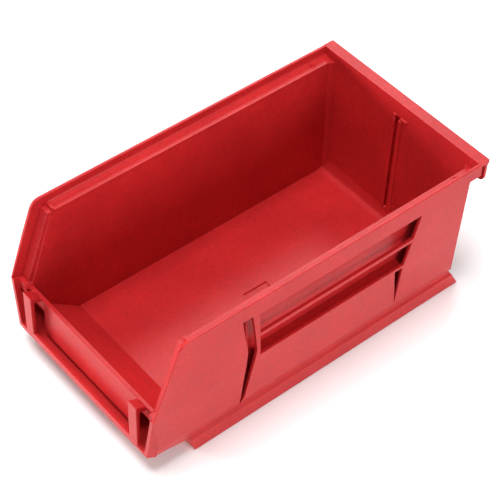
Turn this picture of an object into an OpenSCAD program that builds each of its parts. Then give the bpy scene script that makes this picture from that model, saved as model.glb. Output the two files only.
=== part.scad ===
// Stackable storage bin with an open hopper front, stacking ledges and a rear hanger lip.
// Millimetres, +Z up. The origin is under the middle of the bin, on the surface it stands on.
// Inside the modules y is counted from the front of the label holder; place() moves it to the origin.

/* [Overall] */
// Length from the label holder to the back of the hanger lip
bin_l = 187.3; // [180:0.1:195]
// Width across the rims
bin_w = 104.8; // [101:0.1:109]
// Height from the underside of the foot rails to the top of the rims
bin_h = 76.2; // [74:0.1:82]

/* [Walls] */
// Thickness of the moulded walls
wall_t = 1.7; // [1.4:0.1:2]
// Lean of the inner side walls
wall_draft = 1.9; // [1:0.1:2.5]
// Height of the inside of the floor above the surface the bin stands on
floor_z = 6; // [5:0.1:7]
// Radius of the sweep between the floor and the back wall
back_fillet_r = 6; // [3:0.1:8]

/* [Rim and stacking ledge] */
// Thickness of the upstanding rim
rim_t = 1.5; // [1.2:0.1:2]
// Depth of the stacking ledge below the top of the rim
ledge_drop = 5.2; // [4:0.1:6]
// Clear width of the stacking ledge
ledge_w = 5.2; // [4.8:0.1:5.6]
// Radius inside the corner between the ledge and the rim
ledge_fillet_r = 2.2; // [0.5:0.1:2.6]
// Radius of the bend where the rim turns down to the front
bend_r = 5.8; // [3:0.1:8]

/* [Front] */
// Height of the kink where the sloping side edge turns down to the label holder
kink_z = 38.2; // [36:0.1:40]
// Distance of the kink behind the front
kink_y = 1.2; // [0.8:0.1:2]
// Distance behind the front at which the sloping edge would meet the rim's top
slope_top_y = 15.8; // [13:0.1:18]
// Height of the low front wall
front_z = 34.4; // [33:0.1:35]
// Slope of the ramp from the floor up to the low front wall
ramp_angle = 38; // [34:1:42]
// Width of the face of each label rib
label_rib_w = 5.8; // [4:0.1:7]
// Height of the strip that closes the label holder below
label_rail_h = 4.3; // [3:0.1:5]

/* [Side grips] */
// Distance of the window's front end behind the front
grip_y = 56.6; // [55:0.1:60]
// Distance of the window's rear end from the back
grip_rear = 40; // [38:0.1:44]
// Height of the window's lower edge
grip_low_z = 40; // [38:0.1:42]
// Height of the window's upper edge
grip_high_z = 66.6; // [65:0.1:67]
// Height of the bar across the window
grip_bar_h = 2.2; // [1.5:0.1:3]

/* [Foot rails] */
// Height of the foot rails up to the skirt
foot_h = 11; // [10:0.1:12]
// Distance of the foot rails' front end behind the front
foot_y = 23.5; // [23:0.1:26]
// Distance of the foot rails' rear end from the back
foot_rear = 7.6; // [7:0.1:10]
// Gap between the foot rails and the rims of the bin below
foot_gap = 0.6; // [0.4:0.1:1]

/* [Hanger lip] */
// Depth of the flat strip behind the back wall
hanger_w = 5.7; // [5.5:0.1:7]
// Height of the lip below the rim
hanger_h = 12.9; // [10:0.1:14]

/* [Hidden] */
$fn = 48;
plastic = [0.78, 0.08, 0.09];

// Across the bin
half_w = bin_w / 2;
rim_x = half_w - rim_t;
ledge_x = rim_x - ledge_w;
// Levels
ledge_z = bin_h - ledge_drop;
under_z = ledge_z - wall_t;
base_z = floor_z - wall_t;
skirt_z = foot_h;
// Along the bin
back_y = bin_l - hanger_w;
back_draft = 2.4;
foot_end_y = bin_l - foot_rear;
grip_end_y = bin_l - grip_rear;
// Sloping edge
slope_run = slope_top_y - kink_y;
slope_rise = bin_h - kink_z;
slope = atan(slope_run / slope_rise);
// Inside front: the ramp ends in a round sweep up to the low front wall
front_y = 6.2;
sweep_r = 14;
sweep_c = [front_y + wall_t + sweep_r, front_z - 4.3];
function window_y0(z) = grip_y + (grip_high_z - z) * 0.045;
function window_y1(z) = grip_end_y - (grip_high_z - z) * 0.285;
// The slit in front of the grip frame is bent back at this level
waist_z = 46;
waist_in = 3.4;
slit_w = 5;
bridge_z = grip_low_z - 1.6;
// Card holder
panel_y = 5;
panel_w = 68;
panel_r = 3;
shelf_t = 1.2;
post_y = 3.8;
shelf_depth = 15;
panel_z = skirt_z + shelf_t + 1.8;
// Ramp of the foot rail's ends, and the neck above its outer face
foot_neck_z = 8.6;
foot_end_lean = 6;
// Divider groove in the back wall with its raised edges, and the bevel in the wall's corners
groove_w = 2;
groove_depth = 1.3;
groove_edge = 0.6;
corner_w = 2.4;

// Distance from the middle of the bin to the inside of a side wall at height z
function inner_x(z) = ledge_x - (ledge_z - z) * tan(wall_draft);
// Distance from the front to the inside of the back wall at height z
function inner_y(z) = back_y - (bin_h - z) * tan(back_draft);
// A point at depth d under the sloping edge, at height z
function slope_y(d, z) = kink_y + (z - kink_z) * tan(slope) + d / cos(slope);
// Points on an arc about c
function arc(c, r, a0, a1, n = 12) = [for (i = [0:n]) let (a = a0 + (a1 - a0) * i / n)
    c + r * [cos(a), sin(a)]];

// Outer face of the side skins: [distance in from the rim, height]
skin_face = [[0, under_z], [0, 58], [0.5, kink_z], [1.8, 16], [3, skirt_z], [3.1, foot_neck_z]];

module place() translate([0, -bin_l / 2, 0]) children();
module left() mirror([1, 0, 0]) children();
// Extrudes a (y, z) outline across the bin, from x0 to x1
module across(x0, x1) translate([x0, 0, 0]) rotate([90, 0, 90]) linear_extrude(x1 - x0) children();
// Extrudes an (x, z) outline along the bin, from y0 to y1
module along(y0, y1) translate([0, y1, 0]) rotate([90, 0, 0]) linear_extrude(y1 - y0) children();
// Keeps what lies behind the plane through p with outward normal n
module behind_plane(p, n) intersection() {
    children();
    translate(p) rotate([0, acos(n.z / norm(n)), atan2(n.y, n.x)])
        translate([-150, -150, -300]) cube(300);
}

// Everything between the inner faces of the side walls
module between_walls() along(-1, bin_l) polygon([[-inner_x(0), 0], [inner_x(0), 0],
    [inner_x(bin_h), bin_h], [-inner_x(bin_h), bin_h]]);

// Everything inside the outer faces of the rims and skins, on the right
module right_envelope() along(-1, bin_l) polygon(concat(
    [[0, bin_h], [half_w, bin_h]],
    [for (p = skin_face) [half_w - p.x, p.y]],
    [[0, foot_neck_z]]));

// Everything between the inner faces of the two skins
module inside_skins() along(-1, bin_l) polygon(concat(
    [for (p = skin_face) [half_w - p.x - wall_t, p.y]],
    [for (i = [len(skin_face) - 1:-1:0]) [skin_face[i].x + wall_t - half_w, skin_face[i].y]]));

// The right skin before its windows and ends are cut
module right_skin_sheet() along(-1, bin_l) polygon(concat(
    [for (p = skin_face) [half_w - p.x, p.y]],
    [for (i = [len(skin_face) - 1:-1:0]) [half_w - skin_face[i].x - wall_t, skin_face[i].y]]));

// Front edge of the ramp, seen from the side; t is the distance outward from its inner face
function ramp_line(t) = let (
    s = sin(ramp_angle), c = cos(ramp_angle),
    foot = sweep_c + (sweep_r + t) * [-s, -c],
    z = floor_z - t,
    y = foot.x + (foot.y - z) / tan(ramp_angle))
    concat([[y, z]], arc(sweep_c, sweep_r + t, 270 - ramp_angle, 180));

module floor_pan() place() color(plastic) difference() {
    intersection() {
        between_walls();
        across(-half_w, half_w) polygon([ramp_line(wall_t)[0], ramp_line(0)[0],
            [inner_y(floor_z + back_fillet_r) - back_fillet_r, floor_z],
            [inner_y(floor_z + back_fillet_r) - back_fillet_r, base_z]]);
    }
    // Shallow recess in the middle of the floor
    translate([-2, 92.8, floor_z - 0.7]) cube([4, 13.2, 2]);
}

module front_ramp() place() color(plastic) intersection() {
    between_walls();
    across(-half_w, half_w) polygon(concat(ramp_line(0), [[front_y + wall_t, front_z - rim_h]],
        [[front_y, front_z - rim_h]], [for (i = [len(ramp_line(wall_t)) - 1:-1:0]) ramp_line(wall_t)[i]]));
}

// Top of the low front wall; at each end it rises to a shoulder under the ledge
rim_h = 2.4;
lip_y = front_y - 0.4;
shoulder_z = front_z + 2.2;

module front_rim() place() color(plastic) intersection() {
    between_walls();
    along(lip_y, front_y + wall_t) translate([-half_w, front_z - rim_h]) square([bin_w, rim_h]);
}

module right_shoulder_solid() intersection() {
    inside_skins();
    along(lip_y - 2, front_y + 3) polygon([[inner_x(front_z - rim_h), front_z - rim_h],
        [half_w, front_z - rim_h], [half_w, shoulder_z], [ledge_x, shoulder_z],
        [inner_x(front_z), front_z]]);
}

// Bevel between the back wall and the right side wall
module back_corner() let (
    low = [inner_x(floor_z) - corner_w, inner_y(floor_z), floor_z],
    high = [inner_x(ledge_z) - corner_w, inner_y(ledge_z), ledge_z])
    behind_plane(low, cross([corner_w, -corner_w, 0], high - low)) intersection() {
        between_walls();
        across(ledge_x - 8, half_w) polygon([[inner_y(floor_z) - 4, floor_z],
            [inner_y(floor_z) + 0.2, floor_z], [inner_y(ledge_z) + 0.2, ledge_z],
            [inner_y(ledge_z) - 4, ledge_z]]);
    }

module back_wall() place() color(plastic) difference() {
    union() {
        back_sheet();
        back_corner();
        left() back_corner();
        across(-2.4, 3.2) polygon([[inner_y(8) + 0.2, 8], [inner_y(67) + 0.2, 67],
            [inner_y(66.4) - groove_edge, 66.4], [inner_y(8) - groove_edge, 8]]);
    }
    // Groove for a lengthwise divider
    across(-groove_w / 2, groove_w / 2) polygon([[inner_y(11) - 2, 11], [inner_y(11) + groove_depth, 11],
        [inner_y(68) + groove_depth, 68], [inner_y(68) - 2, 68]]);
}

module back_sheet() intersection() {
    across(-half_w, half_w) let (z1 = floor_z + back_fillet_r, y1 = inner_y(z1) - back_fillet_r)
        polygon(concat([[y1, base_z], [inner_y(base_z) + wall_t, base_z],
            [inner_y(bin_h - wall_t) + wall_t, bin_h - wall_t],
            [inner_y(bin_h - wall_t), bin_h - wall_t]],
            arc([y1, z1], back_fillet_r, 0, -90)));
    along(0, bin_l) polygon([[-inner_x(0), 0], [inner_x(0), 0], [inner_x(under_z), under_z],
        [rim_x, under_z], [rim_x, bin_h], [-rim_x, bin_h], [-rim_x, under_z],
        [-inner_x(under_z), under_z]]);
}

module catch_bar(x, w) across(x, x + w) polygon([[inner_y(67.4) - 0.7, 67.6], [inner_y(67.4), 67.4],
    [inner_y(69), 69], [inner_y(69) - 0.7, 68.8]]);

module divider_catch() place() color(plastic) {
    catch_bar(-2.7, 1.9);
    catch_bar(2.3, 4);
}

// Outline of a side wall: it follows the ramp below and the sloping ledge in front
module wall_outline() polygon(concat(
    [for (p = ramp_line(wall_t)) p],
    [[front_y, front_z - rim_h], [front_y + 3, front_z - rim_h], [front_y + 3, front_z],
     [slope_y(ledge_drop + wall_t, front_z), front_z],
     [slope_y(ledge_drop + wall_t, under_z), under_z],
     [inner_y(under_z) + wall_t, under_z],
     [inner_y(base_z) + wall_t, base_z]]));

module right_wall_solid() intersection() {
    along(0, bin_l) polygon([[inner_x(base_z), base_z], [inner_x(base_z) + wall_t, base_z],
        [inner_x(under_z) + wall_t, under_z], [inner_x(under_z), under_z]]);
    across(0, half_w) wall_outline();
}

// Front end and top end of the line at depth d under the rim's edge
function edge_line(d) = [[slope_y(d, kink_z) - d * sin(slope) * tan(slope), kink_z - d * sin(slope)],
    [slope_y(d, bin_h - d), bin_h - d]];
skin_top = edge_line(ledge_drop + wall_t);
bend_t = bend_r * tan((90 - slope) / 2);
rim_edge = concat([[kink_y, kink_z]],
    arc([slope_top_y + bend_t, bin_h - bend_r], bend_r, 180 - slope, 90),
    [[back_y, bin_h]]);

module right_rim_solid() intersection() {
    right_envelope();
    across(rim_x, half_w) polygon(concat(rim_edge, [[back_y, bin_h - wall_t],
        [back_y + 1.2, bin_h - wall_t], [back_y + 1.2, under_z], skin_top[1], skin_top[0]]));
}

// Bar across the ledge, let in by stop_seat
stop_t = 1.6;
stop_y = foot_y - 0.3 - stop_t;
stop_seat = 0.3;

// Small round-over between the ledge and the rim; s is measured up from the ledge
module ledge_fillet_section() polygon(concat([[rim_x, 0], [rim_x, ledge_fillet_r + 0.1]],
    arc([rim_x - ledge_fillet_r, ledge_fillet_r], ledge_fillet_r, -6, -84, 9),
    [[rim_x - ledge_fillet_r - 0.1, 0]]));

module right_ledge_solid() difference() {
    union() {
        across(ledge_x, rim_x) polygon([[slope_y(ledge_drop, shoulder_z), shoulder_z],
            edge_line(ledge_drop)[1], [stop_y, ledge_z], [stop_y, ledge_z - stop_seat],
            [stop_y + stop_t, ledge_z - stop_seat], [stop_y + stop_t, ledge_z],
            [inner_y(ledge_z), ledge_z], [inner_y(under_z), under_z],
            skin_top[1], [slope_y(ledge_drop + wall_t, shoulder_z), shoulder_z]]);
        translate([0, 0, ledge_z]) along(stop_y + stop_t, inner_y(ledge_z))
            ledge_fillet_section();
    }
    // Ejector mark
    translate([(ledge_x + rim_x) / 2, 171, ledge_z - 0.3]) cylinder(d = 3.2, h = 1);
}

module right_stop_solid() across(ledge_x, rim_x) polygon([[stop_y, ledge_z - stop_seat],
    [stop_y + stop_t, ledge_z - stop_seat], [stop_y + stop_t, ledge_z],
    [stop_y + stop_t - 0.2, ledge_z + 1.3], [stop_y + 0.5, ledge_z + 1.3], [stop_y, ledge_z]]);

module right_front_skin_solid() intersection() {
    right_skin_sheet();
    across(0, half_w) polygon([[post_y, skirt_z + 1.2], [foot_y - 2.1, foot_neck_z + 0.2],
        [foot_y - 2.6, skirt_z], [49, skirt_z], [48.3, 15], [47.6 + waist_in, waist_z],
        [47.6, grip_high_z + 1], [47.6, under_z], skin_top[1], skin_top[0],
        [post_y, kink_z - (post_y - kink_y) * tan(slope)]]);
}

module right_grip_frame_solid() intersection() {
    right_skin_sheet();
    across(0, half_w) polygon([[49, skirt_z], [grip_end_y - 9.3, skirt_z], [grip_end_y - 9.5, 15],
        [grip_end_y - 12.6, bridge_z], [window_y1(bridge_z), bridge_z],
        [window_y1(grip_low_z), grip_low_z], [window_y0(grip_low_z), grip_low_z],
        [grip_y, grip_high_z], [grip_end_y, grip_high_z], [grip_end_y, under_z], [47.6, under_z],
        [47.6, grip_high_z + 1], [47.6 + slit_w + 0.4, grip_high_z + 1],
        [47.6 + waist_in + slit_w, waist_z - 2], [50.1, 14]]);
}

module right_grip_bar_solid() let (z = (grip_low_z + grip_high_z) / 2, h = grip_bar_h / 2)
    intersection() {
        right_skin_sheet();
        across(0, half_w) polygon([[window_y0(z - h), z - h], [window_y1(z - h), z - h],
            [window_y1(z + h), z + h], [window_y0(z + h), z + h]]);
    }

// Floor of the window's recess, from the inner wall to the grip frame
module right_grip_sill_solid() let (z0 = grip_low_z - 1.6, z1 = grip_low_z - 0.2) intersection() {
    inside_skins();
    along(window_y0(grip_low_z), window_y1(grip_low_z)) polygon([[inner_x(z0) + wall_t, z0],
        [half_w, z0], [half_w, z1], [inner_x(z1) + wall_t, z1]]);
}

// Thin upright rib on the inner wall, behind the slit
module right_pocket_rib_solid() let (x0 = inner_x(skirt_z) + wall_t, x1 = inner_x(under_z) + wall_t)
    intersection() {
    along(0, bin_l) polygon([[x0, skirt_z + 4], [x0 + 1.4, skirt_z + 4], [x1 + 1.4, under_z],
        [x1, under_z]]);
    across(0, half_w) polygon([[51, skirt_z + 4], [52, skirt_z + 4], [54.6, waist_z],
        [52.4, under_z], [51.2, under_z], [53.4, waist_z]]);
}

module right_rear_skin_solid() intersection() {
    right_skin_sheet();
    across(0, half_w) polygon([[grip_end_y - 9.3, skirt_z], [foot_end_y - 6.2, skirt_z],
        [foot_end_y - 6, 15.6], [foot_end_y - 7.4, 17.4], [foot_end_y - 6.6, 26], [175.8, under_z],
        [grip_end_y, under_z], [grip_end_y, grip_high_z], [window_y1(bridge_z), bridge_z],
        [grip_end_y - 9.5, 15]]);
}

// Corner beside the label holder. Its front face narrows downward between the slanted slot
// and a chamfer that widens downward.
module right_corner_post_solid() let (
    top = [half_w - 1.2, 0.2, 38.8],
    low = [47.5, 0.2, skirt_z],
    side = [half_w - 1.7, 4.3, 18])
    behind_plane(low, cross(low - top, side - top)) post_block(skirt_z);
module post_block(z0) intersection() {
    right_envelope();
    along(0, post_y) polygon([[45, z0], [half_w, z0], [half_w, 50], [49.6, 50], [49.6, kink_z - 1.6],
        [46, 14], [45, 13.2]]);
    across(0, half_w) polygon([[0.2, z0], [post_y, z0], [post_y, kink_z - (post_y - kink_y) * tan(slope)],
        [kink_y, kink_z]]);
}

module label_panel() place() color(plastic) intersection() {
    across(-half_w, half_w) polygon([[lip_y, front_z - rim_h], [panel_y, panel_z],
        [panel_y + wall_t, panel_z], [lip_y + wall_t, front_z - rim_h]]);
    along(0, 20) polygon(concat([[panel_w / 2, front_z]],
        arc([panel_w / 2 - panel_r, panel_z + panel_r], panel_r, 0, -90, 8),
        arc([panel_r - panel_w / 2, panel_z + panel_r], panel_r, -90, -180, 8),
        [[-panel_w / 2, front_z]]));
}

// Bottom of the card slot; behind the rail it closes the hollow under the ramp
module label_shelf() place() color(plastic) intersection() {
    translate([0, 0, skirt_z]) linear_extrude(shelf_t) polygon([[-45, wall_t], [45, wall_t],
        [45, post_y], [half_w, post_y], [half_w, shelf_depth], [-half_w, shelf_depth],
        [-half_w, post_y], [-45, post_y]]);
    inside_skins();
}

module right_label_rib_solid() across(41.3 - label_rib_w, 41.3) polygon([
    [0, skirt_z + label_rail_h], [wall_t, skirt_z + label_rail_h],
    [0.6 + wall_t, front_z - 0.4], [lip_y, front_z - 1.6], [lip_y, front_z],
    [lip_y - 0.8, front_z + 1.4], [0.3, kink_z]]);

module label_rail() place() color(plastic) along(0, wall_t) polygon([
    [-45, skirt_z], [45, skirt_z], [45, skirt_z + 2.2], [41.3, skirt_z + 2.2],
    [41.3, skirt_z + label_rail_h], [-41.3, skirt_z + label_rail_h], [-41.3, skirt_z + 2.2],
    [-45, skirt_z + 2.2]]);

// Foot rail: its outer face fits inside the rim of the bin below
foot_x = rim_x - foot_gap;
module right_foot_rail_solid() intersection() {
    along(0, bin_l) polygon([[44, 0], [foot_x, 0], [foot_x, foot_neck_z - 0.4],
        [half_w - 3.1, foot_neck_z + 0.2], [half_w - 3, foot_h], [inner_x(foot_h) + wall_t, foot_h],
        [inner_x(base_z) + wall_t, base_z], [44, base_z]]);
    across(0, half_w) polygon([[foot_y, 0], [foot_end_y, 0], [foot_end_y - foot_end_lean, foot_h],
        [foot_y - 2.6, foot_h]]);
}

module hanger_top() place() color(plastic) translate([0, 0, bin_h - wall_t]) linear_extrude(wall_t)
    polygon(concat([[-half_w, back_y]],
        arc([0.8 - half_w, bin_l - 0.8], 0.8, 180, 90, 6),
        arc([half_w - 0.8, bin_l - 0.8], 0.8, 90, 0, 6), [[half_w, back_y]]));

module hanger_lip() place() color(plastic) intersection() {
    across(-half_w, half_w) polygon([[bin_l - wall_t, bin_h - wall_t], [bin_l, bin_h - wall_t],
        [bin_l - 0.7, bin_h - hanger_h], [bin_l - 0.7 - wall_t + 0.2, bin_h - hanger_h]]);
    along(0, bin_l + 1) polygon(concat([[half_w - 0.7, bin_h]],
        arc([half_w - 3.7, bin_h - hanger_h + 3], 3, 0, -90, 8),
        arc([-half_w + 3.7, bin_h - hanger_h + 3], 3, -90, -180, 8), [[-half_w + 0.7, bin_h]]));
}

module right_wall() place() color(plastic) right_wall_solid();
module left_wall() place() color(plastic) left() right_wall_solid();
module right_ledge() place() color(plastic) right_ledge_solid();
module left_ledge() place() color(plastic) left() right_ledge_solid();
module right_rim() place() color(plastic) right_rim_solid();
module left_rim() place() color(plastic) left() right_rim_solid();
module right_stack_stop() place() color(plastic) right_stop_solid();
module left_stack_stop() place() color(plastic) left() right_stop_solid();
module right_front_skin() place() color(plastic) right_front_skin_solid();
module left_front_skin() place() color(plastic) left() right_front_skin_solid();
module right_grip_frame() place() color(plastic) right_grip_frame_solid();
module left_grip_frame() place() color(plastic) left() right_grip_frame_solid();
module right_grip_bar() place() color(plastic) right_grip_bar_solid();
module left_grip_bar() place() color(plastic) left() right_grip_bar_solid();
module right_pocket_rib() place() color(plastic) right_pocket_rib_solid();
module left_pocket_rib() place() color(plastic) left() right_pocket_rib_solid();
module right_rear_skin() place() color(plastic) right_rear_skin_solid();
module left_rear_skin() place() color(plastic) left() right_rear_skin_solid();
module right_corner_post() place() color(plastic) right_corner_post_solid();
module left_corner_post() place() color(plastic) left() right_corner_post_solid();
module right_grip_sill() place() color(plastic) right_grip_sill_solid();
module left_grip_sill() place() color(plastic) left() right_grip_sill_solid();
module right_shoulder() place() color(plastic) right_shoulder_solid();
module left_shoulder() place() color(plastic) left() right_shoulder_solid();
module right_label_rib() place() color(plastic) right_label_rib_solid();
module left_label_rib() place() color(plastic) left() right_label_rib_solid();
module right_foot_rail() place() color(plastic) right_foot_rail_solid();
module left_foot_rail() place() color(plastic) left() right_foot_rail_solid();

floor_pan();
front_ramp();
front_rim();
back_wall();
left_wall();
right_wall();
left_ledge();
right_ledge();
left_rim();
right_rim();
left_stack_stop();
right_stack_stop();
left_front_skin();
right_front_skin();
left_grip_frame();
right_grip_frame();
left_grip_bar();
right_grip_bar();
left_pocket_rib();
right_pocket_rib();
left_rear_skin();
right_rear_skin();
left_corner_post();
right_corner_post();
left_grip_sill();
right_grip_sill();
left_shoulder();
right_shoulder();
label_panel();
label_shelf();
left_label_rib();
right_label_rib();
label_rail();
left_foot_rail();
right_foot_rail();
hanger_top();
hanger_lip();
divider_catch();
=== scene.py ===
"""Stackable storage bin: moulded red plastic on a pale floor under soft studio light."""

import math

import bmesh
import bpy
from mathutils import Matrix, Vector
from mathutils.bvhtree import BVHTree


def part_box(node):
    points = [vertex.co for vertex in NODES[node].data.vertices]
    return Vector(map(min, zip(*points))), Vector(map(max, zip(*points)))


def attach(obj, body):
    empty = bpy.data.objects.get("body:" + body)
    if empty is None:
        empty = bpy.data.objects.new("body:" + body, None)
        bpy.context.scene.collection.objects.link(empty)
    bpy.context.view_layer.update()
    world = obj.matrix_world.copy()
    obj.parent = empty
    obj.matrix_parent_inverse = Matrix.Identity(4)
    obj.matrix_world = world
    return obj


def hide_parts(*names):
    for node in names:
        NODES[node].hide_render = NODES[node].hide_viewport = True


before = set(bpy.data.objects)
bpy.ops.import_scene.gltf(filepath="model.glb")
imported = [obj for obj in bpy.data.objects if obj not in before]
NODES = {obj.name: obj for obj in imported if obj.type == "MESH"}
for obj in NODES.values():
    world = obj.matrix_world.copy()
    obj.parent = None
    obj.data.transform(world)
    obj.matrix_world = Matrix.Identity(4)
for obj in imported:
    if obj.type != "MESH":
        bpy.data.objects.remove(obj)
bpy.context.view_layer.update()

# Lengths in metres
EDGE = 0.00034  # radius left by the mould on every free edge
ON_SURFACE = 3e-5  # a point this close to a surface lies on it
BOX_MARGIN = 1e-4  # added around a piece's box before its surface is searched
STEP_IN = 0.00012  # how far inside a face its edge is tested
FLOOR_DROP = 0.0002  # keeps the floor just clear of the foot rails
FLOOR_REACH = 3.0

# Angles
FLAT = math.radians(0.6)  # faces that meet at less than this are one flat face
SHARP = math.radians(25)  # edges that bend more than this are rounded or kept sharp


# ---------------------------------------------------------------- materials
def new_material(name):
    """A material, its node tree, its shader and the object's own coordinates."""
    mat = bpy.data.materials.new(name)
    mat.use_nodes = True
    tree = mat.node_tree
    where = tree.nodes.new("ShaderNodeTexCoord").outputs["Object"]
    return mat, tree, tree.nodes["Principled BSDF"], where


def noise(tree, where, scale, detail, roughness):
    made = tree.nodes.new("ShaderNodeTexNoise")
    made.inputs["Scale"].default_value = scale
    made.inputs["Detail"].default_value = detail
    made.inputs["Roughness"].default_value = roughness
    tree.links.new(where, made.inputs["Vector"])
    return made.outputs["Fac"]


def blend(tree, source, low, high):
    """Colours between two (position, colour) stops."""
    made = tree.nodes.new("ShaderNodeValToRGB")
    for stop, (position, colour) in zip(made.color_ramp.elements, (low, high)):
        stop.position = position
        stop.color = colour
    tree.links.new(source, made.inputs["Fac"])
    return made.outputs["Color"]


def remap(tree, source, before, after):
    """Carries the range `before` over to the range `after`."""
    made = tree.nodes.new("ShaderNodeMapRange")
    made.inputs["From Min"].default_value, made.inputs["From Max"].default_value = before
    made.inputs["To Min"].default_value, made.inputs["To Max"].default_value = after
    tree.links.new(source, made.inputs["Value"])
    return made.outputs["Result"]


def scaled(tree, colour, factor):
    made = tree.nodes.new("ShaderNodeVectorMath")
    made.operation = "SCALE"
    tree.links.new(colour, made.inputs[0])
    tree.links.new(factor, made.inputs["Scale"])
    return made.outputs["Vector"]


def bump(tree, height, strength, distance):
    made = tree.nodes.new("ShaderNodeBump")
    made.inputs["Strength"].default_value = strength
    made.inputs["Distance"].default_value = distance
    tree.links.new(height, made.inputs["Height"])
    return made


def moulded_plastic(name, base, deep, roughness, grain):
    """Semi-matt moulded polypropylene: slightly cloudy colour and a fine eroded grain."""
    mat, tree, shader, where = new_material(name)
    link = tree.links.new

    cloud = noise(tree, where, 38.0, 5.0, 0.62)
    tint = blend(tree, cloud, (0.30, deep), (0.72, base))
    speck = noise(tree, where, 650.0, 4.0, 0.75)
    shade = remap(tree, speck, (0.36, 0.60), (0.84, 1.03))
    link(scaled(tree, tint, shade), shader.inputs["Base Color"])

    fine = noise(tree, where, 900.0, 3.0, 0.6)
    gloss = remap(tree, fine, (0.35, 0.65), (roughness - 0.05, roughness + 0.06))
    link(gloss, shader.inputs["Roughness"])

    # The eroded grain, and broad shallow sink marks over it
    skin = bump(tree, fine, grain, 0.00008)
    sink = bump(tree, noise(tree, where, 24.0, 2.0, 0.5), 0.10, 0.0010)
    link(skin.outputs["Normal"], sink.inputs["Normal"])
    link(sink.outputs["Normal"], shader.inputs["Normal"])

    shader.inputs["IOR"].default_value = 1.49
    shader.inputs["Specular IOR Level"].default_value = 0.24
    shader.inputs["Subsurface Weight"].default_value = 0.10
    shader.inputs["Subsurface Radius"].default_value = (0.0020, 0.0005, 0.0004)
    shader.inputs["Subsurface Scale"].default_value = 1.0
    return mat


def backdrop_paper(name):
    """Matt white paper with a faint mottle."""
    mat, tree, shader, where = new_material(name)
    mottle = noise(tree, where, 9.0, 4.0, 0.5)
    tint = blend(tree, mottle, (0.0, (0.92, 0.92, 0.92, 1.0)), (1.0, (0.95, 0.95, 0.95, 1.0)))
    tree.links.new(tint, shader.inputs["Base Color"])
    shader.inputs["Roughness"].default_value = 0.75
    return mat


RED = (0.57, 0.021, 0.023, 1.0)
DEEP_RED = (0.46, 0.016, 0.019, 1.0)
PLASTIC = moulded_plastic("red_polypropylene", RED, DEEP_RED, roughness=0.34, grain=0.35)


# ---------------------------------------------------------------- the bin
def solid_copy(source):
    """The CAD node's mesh with its flat faces put back together."""
    mesh = source.data.copy()
    bm = bmesh.new()
    bm.from_mesh(mesh)
    bmesh.ops.remove_doubles(bm, verts=bm.verts, dist=1e-6)
    bmesh.ops.dissolve_limit(
        bm, angle_limit=FLAT, verts=bm.verts, edges=bm.edges, use_dissolve_boundaries=False
    )
    bm.to_mesh(mesh)
    bm.free()
    mesh.validate()
    return mesh


def surface_of(name):
    """The CAD node's surface, ready for nearest-point searches."""
    mesh = NODES[name].data
    mesh.calc_loop_triangles()
    return BVHTree.FromPolygons(
        [v.co.copy() for v in mesh.vertices], [tuple(t.vertices) for t in mesh.loop_triangles]
    )


SURFACES = {name: surface_of(name) for name in NODES}
BOXES = {name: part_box(name) for name in NODES}


def near(p, name):
    lo, hi = BOXES[name]
    return all(lo[i] - BOX_MARGIN <= p[i] <= hi[i] + BOX_MARGIN for i in range(3))


def touches(p, me):
    """True where the surface point p is covered by another region of the moulding."""
    for name, surface in SURFACES.items():
        if name != me and near(p, name):
            if surface.find_nearest(p, ON_SURFACE)[0] is not None:
                return True
    return False


def free_edge(edge, me):
    """True for an edge that shows on the real moulding: neither of its faces is joined there."""
    a, b = edge.verts[0].co, edge.verts[1].co
    along = (b - a).normalized()
    joined = 0
    for part in (0.12, 0.5, 0.88):
        p = a.lerp(b, part)
        for face in edge.link_faces:
            inward = face.normal.cross(along)
            if inward.dot(face.calc_center_median() - p) < 0:
                inward = -inward
            if touches(p + inward * STEP_IN, me):
                joined += 1
                break
    return joined < 2


def mark_edges(mesh, me):
    """Gives the free outer edges the weight that the bevel looks for."""
    bm = bmesh.new()
    bm.from_mesh(mesh)
    bm.normal_update()
    weight = bm.edges.layers.float.get("bevel_weight_edge") or bm.edges.layers.float.new(
        "bevel_weight_edge"
    )
    for edge in bm.edges:
        if len(edge.link_faces) != 2:
            continue
        if edge.calc_face_angle_signed(0.0) > SHARP and free_edge(edge, me):
            edge[weight] = 1.0
    bm.to_mesh(mesh)
    bm.free()


def soften(piece):
    """Rounds the marked edges and keeps the flat faces flat to the light."""
    soft = piece.modifiers.new("edge", "BEVEL")
    soft.limit_method = "WEIGHT"
    soft.width = EDGE
    soft.segments = 3
    soft.use_clamp_overlap = True
    shade = piece.modifiers.new("shade", "WEIGHTED_NORMAL")
    shade.mode = "FACE_AREA"
    shade.keep_sharp = True


for name, source in NODES.items():
    mesh = solid_copy(source)
    mark_edges(mesh, name)
    mesh.materials.clear()
    mesh.materials.append(PLASTIC)
    piece = bpy.data.objects.new("bin_" + name, mesh)
    bpy.context.scene.collection.objects.link(piece)
    soften(piece)
    mesh.shade_smooth()
    mesh.set_sharp_from_angle(angle=SHARP)
    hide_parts(name)
    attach(piece, "root")


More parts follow.
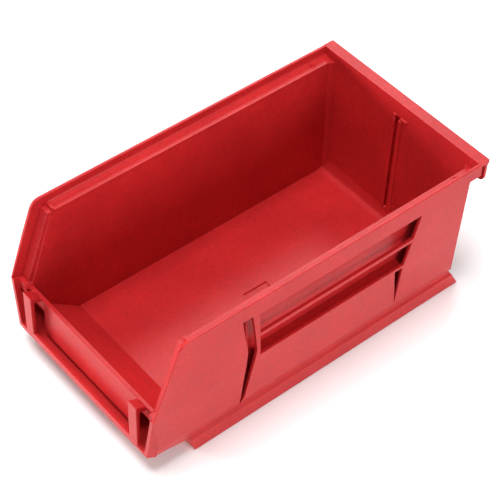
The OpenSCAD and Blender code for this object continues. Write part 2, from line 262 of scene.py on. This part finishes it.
# ---------------------------------------------------------------- stage
def floor():
    mesh = bpy.data.meshes.new("floor")
    corners = [(-1, -1), (1, -1), (1, 1), (-1, 1)]
    mesh.from_pydata([(x * FLOOR_REACH, y * FLOOR_REACH, 0) for x, y in corners], [], [(0, 1, 2, 3)])
    made = bpy.data.objects.new("floor", mesh)
    bpy.context.scene.collection.objects.link(made)
    made.location = (0, 0, -FLOOR_DROP)
    mesh.materials.append(backdrop_paper("pale_paper"))
    return made


def softbox(name, place, width, height, power):
    """A white area light that faces the middle of the bin."""
    light = bpy.data.lights.new(name, "AREA")
    light.shape = "RECTANGLE"
    light.size, light.size_y = width, height
    light.energy = power
    made = bpy.data.objects.new(name, light)
    bpy.context.scene.collection.objects.link(made)
    made.location = place
    made.rotation_mode = "QUATERNION"
    made.rotation_quaternion = (MIDDLE - Vector(place)).to_track_quat("-Z", "Y")
    return made


MIDDLE = Vector((0, 0, 0.04))
stage = [
    floor(),
    softbox("key", (1.25, 0.10, 0.40), 0.7, 0.45, 8.6),
    softbox("front", (-0.98, -0.74, 0.17), 0.45, 0.28, 16.0),
    softbox("top", (0.02, -0.22, 1.35), 0.6, 0.6, 16.5),
    softbox("sheen", (-0.62, 0.56, 0.95), 0.45, 0.45, 5.0),
]

world = bpy.data.worlds.new("studio")
bpy.context.scene.world = world
world.use_nodes = True
background = world.node_tree.nodes["Background"]
background.inputs["Color"].default_value = (1, 1, 1, 1)
background.inputs["Strength"].default_value = 0.28

# ---------------------------------------------------------------- camera
AZIMUTH = math.radians(50.01)  # from the bin's front round to its right
ELEVATION = math.radians(46.71)
ROLL = math.radians(1.0)
DISTANCE = 0.7462
AIM = Vector((0.00068, 0.00028, 0.03747))
back = Vector(
    (
        math.sin(AZIMUTH) * math.cos(ELEVATION),
        -math.cos(AZIMUTH) * math.cos(ELEVATION),
        math.sin(ELEVATION),
    )
)
lens = bpy.data.cameras.new("camera")
lens.sensor_width = 36.0
lens.lens = 120.12
lens.clip_start, lens.clip_end = 0.01, 20.0
camera = bpy.data.objects.new("camera", lens)
bpy.context.scene.collection.objects.link(camera)
turn = (-back).to_track_quat("-Z", "Y").to_matrix().to_4x4() @ Matrix.Rotation(ROLL, 4, "Z")
camera.matrix_world = Matrix.Translation(AIM + back * DISTANCE) @ turn
bpy.context.scene.camera = camera

bpy.context.scene.view_settings.view_transform = "Standard"
